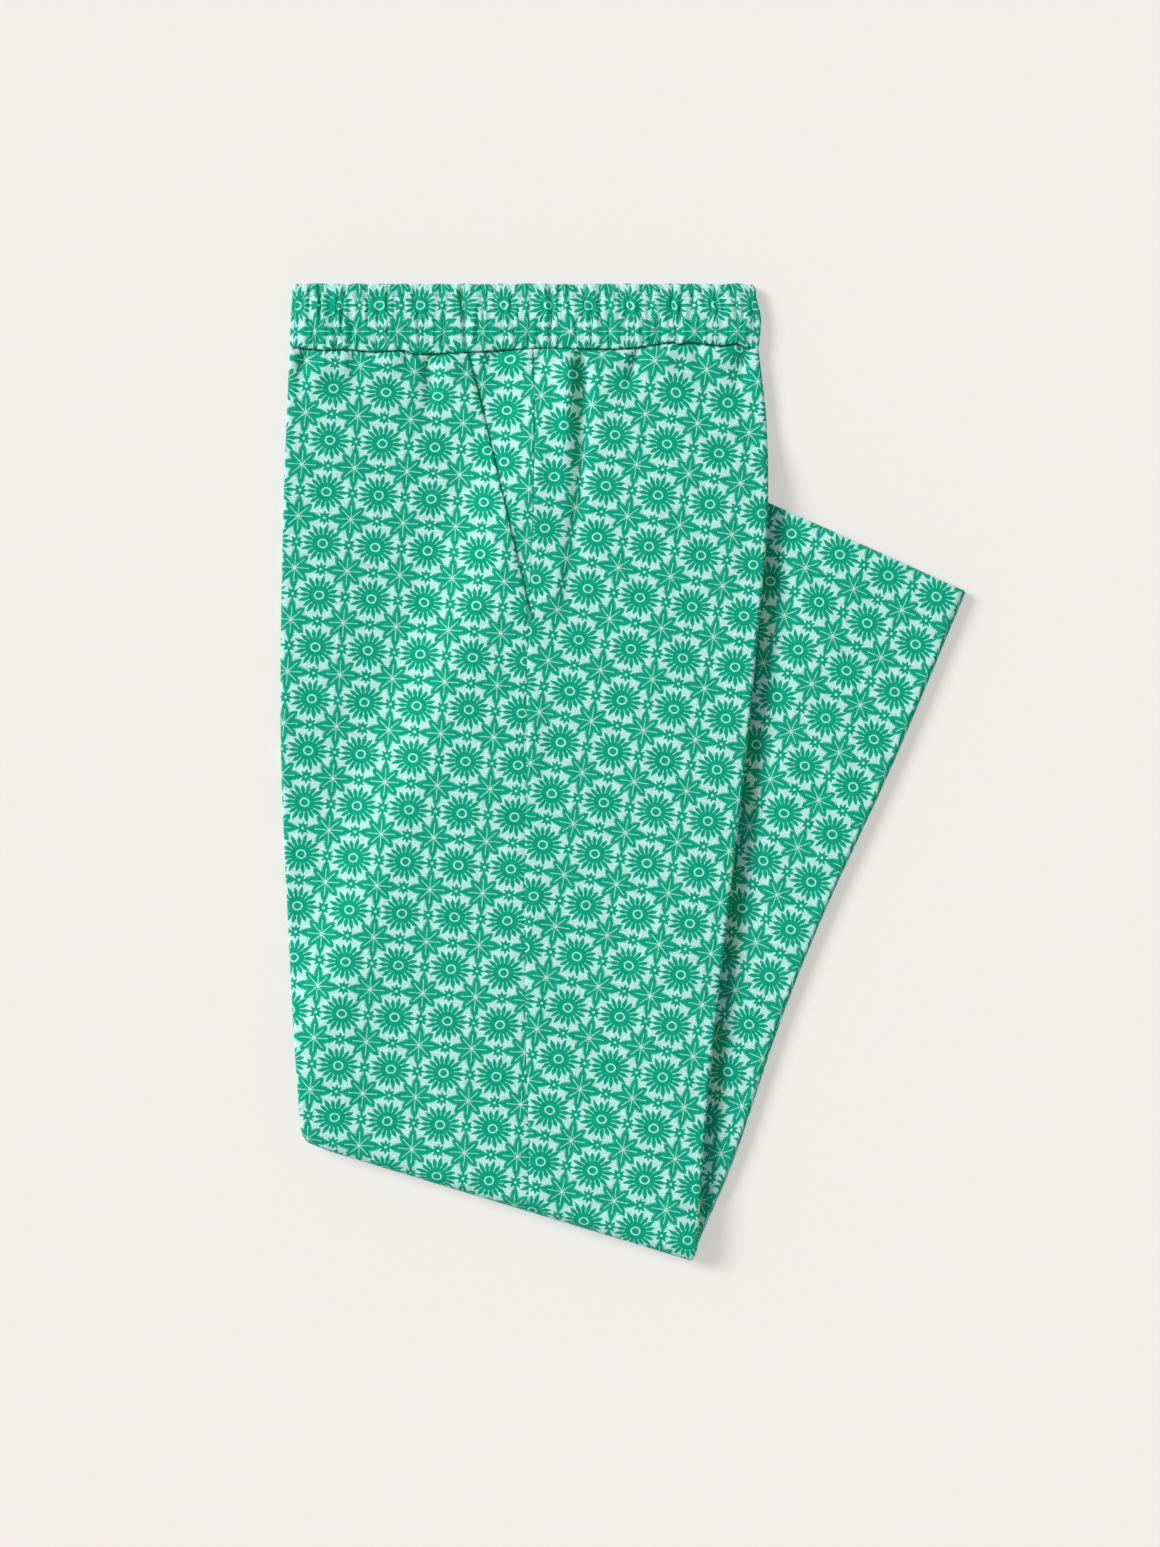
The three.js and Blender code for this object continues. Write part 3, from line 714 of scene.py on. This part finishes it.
# %% Waistband
TOP_COLUMNS, UNDER_COLUMNS, LOBE = 640, 120, np.linspace(0, math.pi, 13)
# rows between the rounded ones at the seam and at the top edge, and a place in mid face
BAND_ROWS, MID_ROW, MID_COLUMN = 46, 24, 300


def band_end(centre, side, radius, inward):
    """One end of the loop from the top down: a half circle, the tuck's two runs and its tip, and
    the second half circle. side is 1 at the back and -1 at the front."""
    middle, half = LEG + GAP / 2, GAP / 2 + inward
    lobe = np.stack([centre + side * radius * np.sin(LOBE), radius * np.cos(LOBE)], 1)
    tip_x = centre - side * (TUCK - CREASE)
    runs = centre - side * np.linspace(0.08, 1, 9)[:-1] * (TUCK - CREASE)
    into = np.stack([runs, 0 * runs + middle + half], 1)
    tip = np.array([[tip_x, middle + half], [tip_x - side * half * 0.8, middle + half * 0.6],
                    [tip_x - side * half, middle], [tip_x - side * half * 0.8, middle - half * 0.6],
                    [tip_x, middle - half]])
    back = np.stack([runs[::-1], 0 * runs + middle - half], 1)
    return np.vstack([lobe + [0, STACK - CREASE], into, tip, back, lobe + [0, CREASE]])


def band_loop(share, inward):
    """x and z of the loop at one share of the height, inward mm inside the outer face."""
    left, right = (np.interp(share, BAND_ENDS[:, 0], BAND_ENDS[:, k]) for k in (1, 2))
    first, last = left + CREASE, right - CREASE
    top_x = np.linspace(first, last, TOP_COLUMNS + 1)[1:-1]
    top = np.stack([top_x, 0 * top_x + STACK - inward], 1)
    under_x = np.linspace(last, first, UNDER_COLUMNS + 1)[1:-1]
    under = np.stack([under_x, 0 * under_x + inward], 1)
    radius = CREASE - inward
    return np.vstack([top, band_end(last, 1, radius, inward), under,
                      band_end(first, -1, radius, inward)[::-1]])


def swallowed(x, y):
    """Extra cloth along the band: at each pucker the flat place jumps by PUCKER_TAKES times its
    depth, and within PUCKER_REACH on either side it comes back."""
    total = np.zeros_like(x)
    for centre, low, high, half, depth in PUCKERS:
        window = smooth(y, low - 4, low + 6) * (1 - smooth(y, high - 6, high + 4))
        side = np.clip((x - centre) / PUCKER_REACH, -1, 1)
        jump = smooth(x, centre - half, centre + half) - 0.5 - side * 0.5
        total += PUCKER_TAKES * depth * window * jump
    return total


def band_grid():
    """Rows of the outer face from the seam to the top edge, then of the inner face back down. The
    top of each outer row is lifted by the puckers and by the profile of the casing."""
    face_shares = np.linspace(0.06, 0.96, BAND_ROWS)
    shares = np.concatenate([[0, 0.012, 0.03], face_shares, [0.98, 0.992, 1]])
    inset = np.concatenate([[0.9, 0.4, 0.12], np.zeros(BAND_ROWS), [0.12, 0.4, 0.85]])
    outer = np.stack([band_loop(share, inward) for share, inward in zip(shares, inset)])
    inner_shares = np.array([1, 0.97, 0.5, 0.03, 0])
    inner = np.stack([band_loop(share, BAND_WALL) for share in inner_shares])
    share = np.concatenate([shares, inner_shares])[:, None]
    loop = np.concatenate([outer, inner])
    x, z = loop[..., 0], loop[..., 1]
    foot = seam_height(x) + 0.1
    short_waves = 0.24 * np.sin(x / 2.1 + 1.1 * np.sin(x / 7))
    long_waves = 0.2 * np.sin(x / 4.7 + 1.9 * np.sin(x / 13))
    y = foot + (BAND_TOP - foot) * share + (short_waves + long_waves) * smooth(share, 0.8, 1)
    top = slice(0, TOP_COLUMNS - 1)
    on_top = np.zeros_like(x)
    on_top[: len(shares), top] = 1
    ends = np.minimum(x - x[:, :1], x[:, top][:, -1:] - x)
    puckers = np.zeros_like(x)
    puckers[:, top] = pucker_height(x[:, top], y[:, top])
    stitched = -0.75 * np.exp(-((y - STITCH_ROW) / 1.1) ** 2)
    channel = 0.7 * smooth(y, 271, 279) * (1 - smooth(y, 295, STITCH_ROW))
    header = -0.35 * smooth(y, STITCH_ROW, STITCH_ROW + 5)
    rows_fade = smooth(share, 0, 0.05) * 0.75 + 0.25
    z = z + on_top * smooth(ends, 0, 8) * (puckers * rows_fade + stitched + channel + header + 1.5)
    points = np.stack([x, y, z], -1)
    steps = np.linalg.norm(np.diff(loop[MID_ROW], axis=0), axis=1)
    run = np.concatenate([[0], np.cumsum(steps)])[None, :] * BAND_FULLNESS
    return points, np.stack([run + swallowed(x, y) * on_top, y], -1)


band_points, band_flat = band_grid()
band_faces = square_faces(*band_points.shape[:2], closed_rows=True, closed_columns=True)
band_flip = faces_away(band_points, MID_ROW, MID_COLUMN, (0, 0, 1))
waistband = make_piece("waistband_cloth", band_points, band_faces, band_flat, band_flip)
print("waistband:", len(band_faces), "squares")

# %% [markdown]
# ## Sewing
# A machine stitch is a short length of thread that dips into the cloth at both ends. Each stitch is a
# small tube bent into a low arch, and all the stitches of a row are one mesh.

# %% Stitches
RING, STEPS = 6, 5


def stitch_row(name, starts, ends, radius, rise):
    """Tubes from starts to ends, arched by rise sin(pi t), with a ring of 6 points at 5 steps."""
    t = np.linspace(0, 1, STEPS)
    along = ends - starts
    length = np.linalg.norm(along, axis=1)[:, None]
    unit = along / length
    side = np.cross(unit, [0, 0, 1.0])
    side /= np.linalg.norm(side, axis=1)[:, None]
    up = np.cross(side, unit)
    ring = np.linspace(0, 2 * math.pi, RING + 1)[:-1]
    thin = (0.35 + 0.65 * np.sin(math.pi * t) ** 0.5)[None, :, None, None] * radius
    spine = starts[:, None] + along[:, None] * t[None, :, None]
    spine = spine + up[:, None] * (rise * np.sin(math.pi * t))[None, :, None]
    around = (side[:, None, None] * np.cos(ring)[None, None, :, None]
              + up[:, None, None] * np.sin(ring)[None, None, :, None])
    points = spine[:, :, None] + around * thin
    tube = square_faces(STEPS, RING, closed_columns=True)
    caps = np.array([[0, 1, 2, 3], [0, 3, 4, 5], [27, 26, 25, 24], [29, 28, 27, 24]])
    first = RING * STEPS * np.arange(len(starts))[:, None, None]
    faces = np.vstack([(tube + first).reshape(-1, 4), (caps + first).reshape(-1, 4)])
    return make_piece(name, points, faces, flip=True)


def band_surface(x, y):
    """Height of the waistband's face at x, y, from the nearest points of its grid. One column
    stands for every row's y and one row, near mid height, for every column's x."""
    rows, x_row = band_points[3 : 3 + BAND_ROWS, : TOP_COLUMNS - 1], 20
    i = np.abs(rows[:, MID_COLUMN, 1][:, None] - y[None, :]).argmin(0)
    j = np.abs(rows[x_row, :, 0][:, None] - x[None, :]).argmin(0)
    return rows[i, j, 2]


STITCH_STEP, STITCH_LENGTH, PROUD = 3.1, 2.3, 0.12
stitch_x = np.arange(-207, 80, STITCH_STEP)
stitch_y = STITCH_ROW + 0.25 * np.sin(stitch_x / 11)
starts = np.stack([stitch_x, stitch_y, band_surface(stitch_x, stitch_y) + PROUD], 1)
stop_x = stitch_x + STITCH_LENGTH
ends = np.stack([stop_x, stitch_y, band_surface(stop_x, stitch_y) + PROUD], 1)
header_stitches = stitch_row("waistband_stitches", starts, ends, 0.2, 0.25)

TACK_STITCHES, TACK_FROM_EDGE = 15, 158.0
TACK_TOP, TACK_FOOT = np.array([-61.5, 105.5]), np.array([-58.6, 98.2])
TACK_SIDE = np.array([1.5, 0.6])
tack_base = mix(TACK_TOP, TACK_FOOT, np.linspace(0, 1, TACK_STITCHES)[:, None])
tack_z = place(rows_of(UPPER, [YOKE_SHARE]), np.array([[TACK_FROM_EDGE]]), 0)[0, 0, 2] + 1.35
zig = np.column_stack([tack_base - TACK_SIDE, np.full(TACK_STITCHES, tack_z)])
zag = np.column_stack([tack_base + TACK_SIDE, np.full(TACK_STITCHES, tack_z - 0.35)])
bar_tack = stitch_row("pocket_bar_tack", zig, zag, 0.22, 0.2)

# %% [markdown]
# ## Shader arithmetic
# Finishes are written as arithmetic on sockets. One small class wraps a socket, and each operator
# adds one Math node, so a print can be written as a formula.

# %% Socket class
class Signal:
    """A node's socket: + - * / on it add Math nodes, and node() adds any other node."""

    def __init__(self, tree, socket):
        self.tree, self.socket = tree, socket

    def node(self, kind, settings=None, output=0, **inputs):
        """Adds a node. Settings are set first, then the inputs, named as the sockets are with
        underscores for spaces, or in0, in1 ... for their places."""
        new = self.tree.nodes.new(kind)
        for name, value in (settings or {}).items():
            setattr(new, name, value)
        for name, value in inputs.items():
            numbered = name[:2] == "in" and name[2:].isdigit()
            socket = new.inputs[int(name[2:]) if numbered else name.replace("_", " ")]
            if isinstance(value, Signal):
                self.tree.links.new(value.socket, socket)
            else:
                socket.default_value = value
        return Signal(self.tree, new.outputs[output])

    def math(self, operation, *others):
        """A Math node of this socket and the others."""
        values = {f"in{i + 1}": value for i, value in enumerate(others)}
        return self.node("ShaderNodeMath", {"operation": operation}, in0=self, **values)

    def __add__(self, other): return self.math("ADD", other)
    def __sub__(self, other): return self.math("SUBTRACT", other)
    def __mul__(self, other): return self.math("MULTIPLY", other)
    def __truediv__(self, other): return self.math("DIVIDE", other)
    def __radd__(self, other): return self.math("ADD", other)
    def __rmul__(self, other): return self.math("MULTIPLY", other)
    def __rsub__(self, other): return self.math("MULTIPLY", -1.0).math("ADD", other)
    def __abs__(self): return self.math("ABSOLUTE")
    def __lt__(self, other): return self.math("LESS_THAN", other)
    def __gt__(self, other): return self.math("GREATER_THAN", other)

    def wrap(self, period):
        """The value folded into -period / 2 to period / 2."""
        return self.math("WRAP", period / 2, -period / 2)

    def either(self, other): return self.math("MAXIMUM", other)

    def blend(self, low, high):
        """Colour low where this is 0 and high where it is 1."""
        return self.node("ShaderNodeMix", {"data_type": "RGBA", "clamp_factor": True}, 2,
                         in0=self, in6=low, in7=high)


def new_finish(name):
    """A material, its node tree and its surface shader."""
    finish = bpy.data.materials.new(name)
    finish.use_nodes = True
    tree = finish.node_tree
    shader = tree.nodes["Principled BSDF"]
    return finish, tree, shader


# %% [markdown]
# ## The print
# The cloth has a dense two-colour print, deep green on pale mint, that repeats every 33 mm. The
# design here is a plain one of its own: round blossoms of pointed petals, with sprays of eight
# toothed leaves between them in a half drop, and small buds in the gaps. Each motif is a formula of
# the place on the flat cloth in mm. Folding the angle round a motif's centre into one petal's share
# of the turn gives all the petals at once, and folding x and y into one repeat fills the cloth.

# %% Print formula
WIDE, TALL = 33.5, 33.0


def leaf(u, off, length, half, teeth):
    """1 on a leaf from 0 to length along u: off < half 1.66 t^0.62 (1 - t)^0.8 with t = u / length,
    less slanting saw teeth, and less a fine vein along the middle up to t = 0.6."""
    t = (u / length).math("MAXIMUM", 0.0).math("MINIMUM", 1.0)
    outline = t.math("POWER", 0.62) * (1.0 - t).math("POWER", 0.8) * (1.66 * half)
    saw = (u * 0.625 + off * 0.56).math("FRACT")
    return (off < outline - saw * teeth) * (1.0 - (off < 0.2) * (t < 0.6))


def blossom(x, y, petals=18):
    """1 on a blossom: a pointed outline 13 - 1.6 g - 4.2 f^1.2, where f runs from 0 at a petal's
    middle to 1 between two petals and g does so over two petals, with thin gaps, a ring and an eye."""
    wide = x * 0.9
    radius = (wide * wide + y * y).math("SQRT")
    angle = y.math("ARCTAN2", wide)
    f = abs(angle.wrap(2 * math.pi / petals)) * (petals / math.pi)
    second = abs(angle.wrap(4 * math.pi / petals)) * (petals / math.pi / 2)
    outline = 13.0 - second * 1.6 - f.math("POWER", 1.2) * 4.2
    gap = ((1.0 - f) * radius < 0.19 * petals / math.pi) * (radius > 6.0)
    return ((radius < outline) * (radius > 2.9) * (1.0 - gap)).either(radius < 2.1)


def spray(x, y):
    """1 on a spray: two long leaves across, two up and down, and four short ones aslant."""
    ax, ay = abs(x), abs(y)
    aslant, off = (ax + ay) * 0.7071, abs(ax - ay) * 0.7071
    return leaf(ax - 0.5, ay, 14.4, 6.2, 1.2).either(leaf(ay - 0.5, ax, 14.0, 5.4, 1.2)).either(
        leaf(aslant - 2.6, off, 9.6, 4.9, 1.1))


def bud(x, y):
    """1 on a bud: a star with eight points and an open eye."""
    radius = (x * x + y * y).math("SQRT")
    f = abs(y.math("ARCTAN2", x).wrap(math.pi / 4)) * (8 / math.pi)
    return (radius < 4.6 - f * 2.1) * (radius > 0.8)


def leaf_print(tree):
    """Mask of the print, and the place on the cloth in mm, on the piece's cloth map."""
    start = Signal(tree, None)
    uv = start.node("ShaderNodeUVMap", {"uv_map": "cloth"})
    hand = start.node("ShaderNodeTexNoise", {}, 1, Vector=uv, Scale=260.0, Detail=1.0)
    cloth = start.node("ShaderNodeSeparateXYZ", Vector=uv)
    across = cloth * 1000.0
    up = Signal(tree, cloth.socket.node.outputs[1]) * 1000.0
    shake = start.node("ShaderNodeSeparateColor", Color=hand)
    x = across + (shake - 0.5) * 0.8
    y = up + (Signal(tree, shake.socket.node.outputs[1]) - 0.5) * 0.8
    u, v = x.wrap(WIDE), y.wrap(TALL)
    half_u, half_v = (x + WIDE / 2).wrap(WIDE), (y + TALL / 2).wrap(TALL)
    shapes = blossom(u, v).either(spray(half_u, half_v)).either(bud(half_u, v)).either(bud(u, half_v))
    return shapes, across, up


# %% [markdown]
# ## Linen
# Linen yarn is uneven: thick slubs run along single threads both ways, and they take the dye a
# little darker or lighter. Noises stretched along one direction or the other give the long slubs and
# the short unevenness of the yarn, and the weave itself is a product of two sine waves with a thread
# every 0.6 mm. The slubs and the yarn shift the colour, and all of it goes into the bump.

# %% Linen finishes
MINT, GREEN = (0.48, 0.82, 0.78, 1), (0.002, 0.372, 0.22, 1)
REVERSE_MINT = (0.52, 0.76, 0.72, 1)
THREAD_PITCH = 0.6


def yarn_noise(start, along, cross, length, width):
    """Noise in streaks of the given length and width in mm, 0 to 1 about 0.5."""
    stretched = start.node("ShaderNodeCombineXYZ", X=along / length, Y=cross / width, Z=0.0)
    return start.node("ShaderNodeTexNoise", {}, 0, Vector=stretched, Scale=1.0, Detail=2.0,
                      Roughness=0.6)


def linen(name, print_strength, paper):
    """Printed linen: print_strength 1 on the right side and less on the reverse, where paper is
    the colour that shows through."""
    finish, tree, shader = new_finish(name)
    start = Signal(tree, None)
    mask, across, up = leaf_print(tree)
    slub = yarn_noise(start, up, across, 22.0, 0.7) + yarn_noise(start, across, up, 18.0, 0.7) - 1.0
    yarn = yarn_noise(start, up, across, 2.4, 0.5) + yarn_noise(start, across, up, 2.4, 0.5) - 1.0
    dyed = (mask * print_strength).blend(paper, GREEN)
    shade = slub * 0.55 + yarn * 0.8 + 1.0
    grey = start.node("ShaderNodeCombineColor", Red=shade, Green=shade, Blue=shade)
    colour = start.node("ShaderNodeMix", {"data_type": "RGBA", "blend_type": "MULTIPLY"}, 2,
                        in0=1.0, in6=dyed, in7=grey)
    per_mm = math.pi / THREAD_PITCH
    threads = (across * per_mm).math("SINE") * (up * per_mm).math("SINE")
    height = threads * 0.35 + slub + yarn
    bump = start.node("ShaderNodeBump", {}, 0, Strength=0.5, Distance=0.0003, Height=height)
    tree.links.new(colour.socket, shader.inputs["Base Color"])
    tree.links.new(bump.socket, shader.inputs["Normal"])
    shader.inputs["Roughness"].default_value = 0.88
    shader.inputs["Specular IOR Level"].default_value = 0.04
    return finish


linen_face = linen("linen printed face", 1.0, MINT)
linen_reverse = linen("linen reverse", 0.55, REVERSE_MINT)


def thread_finish():
    """Matt green sewing thread with a fine noise in its colour."""
    finish, tree, shader = new_finish("sewing thread")
    start = Signal(tree, None)
    spot = start.node("ShaderNodeTexCoord", {}, 3)
    noise = start.node("ShaderNodeTexNoise", {}, 0, Vector=spot, Scale=2500.0, Detail=1.0)
    colour = noise.blend((0.02, 0.42, 0.27, 1), (0.06, 0.55, 0.4, 1))
    tree.links.new(colour.socket, shader.inputs["Base Color"])
    shader.inputs["Roughness"].default_value = 0.7
    return finish


thread = thread_finish()

# %% [markdown]
# ## Dress the pieces
# Each cloth piece stands for its solid. The right leg's panels also stand for the hidden solids,
# since their layers are what those solids fill in for.

# %% Materials and what each piece stands for
for piece in (left_front, left_back, right_front, right_back, facing, waistband):
    piece.data.materials.append(linen_face)
    piece.data.materials.append(linen_reverse)
for piece in (header_stitches, bar_tack):
    piece.data.materials.append(thread)
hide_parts("left_front_panel")
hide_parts("left_back_panel")
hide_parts("right_back_panel", "folded_layers")
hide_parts("right_front_panel", "lower_folded_layers")
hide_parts("left_pocket_facing")
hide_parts("waistband")

# %% [markdown]
# ## Floor, light and camera
# The trousers lie on a plain warm-white light table under soft light from the upper left, seen from
# straight above. The table glows a little, so shadows on it stay pale while the folds of the cloth
# keep their depth. A long lens far away keeps the view almost without perspective.

# %% Floor, light and camera
scene = bpy.context.scene
scene.view_settings.view_transform = "Standard"


def make_floor():
    """A square of floor just under the cloth, 6 m wide."""
    far, below = 3000, -0.2
    corners = np.array([[-far, -far, below], [far, -far, below], [far, far, below], [-far, far, below]])
    mesh = bpy.data.meshes.new("floor")
    mesh.from_pydata((corners * MM).tolist(), [], [[0, 1, 2, 3]])
    floor = bpy.data.objects.new("floor", mesh)
    bpy.context.collection.objects.link(floor)
    finish, _, shader = new_finish("floor paper")
    shader.inputs["Base Color"].default_value = (0.464, 0.447, 0.434, 1)
    shader.inputs["Roughness"].default_value = 1.0
    shader.inputs["Specular IOR Level"].default_value = 0.0
    shader.inputs["Emission Color"].default_value = (1, 0.963, 0.936, 1)
    shader.inputs["Emission Strength"].default_value = 0.429
    mesh.materials.append(finish)


make_floor()
world = bpy.data.worlds.new("studio")
scene.world = world
world.use_nodes = True
world.node_tree.nodes["Background"].inputs["Color"].default_value = (1, 1, 1, 1)
world.node_tree.nodes["Background"].inputs["Strength"].default_value = 0.4

sun = bpy.data.lights.new("window", "SUN")
sun.energy = 3.0
sun.angle = math.radians(26)
lamp = bpy.data.objects.new("window", sun)
lamp.rotation_euler = (math.radians(-20), math.radians(-49), 0)
bpy.context.collection.objects.link(lamp)

# millimetres of the lens and of its sensor, then metres: the height of floor that the picture holds
# and the place on the trousers under the middle of the picture
lens_mm, sensor_mm = 110, 36
view_height, aim = 0.9823, (-0.0276, -0.0006, 0.015)
camera_data = bpy.data.cameras.new("camera")
camera_data.lens = lens_mm
camera_data.sensor_fit = "AUTO"
camera_data.sensor_width = sensor_mm
camera = bpy.data.objects.new("camera", camera_data)
camera.location = (aim[0], aim[1], aim[2] + view_height * lens_mm / sensor_mm)
camera_data.clip_end = 20
bpy.context.collection.objects.link(camera)
scene.camera = camera
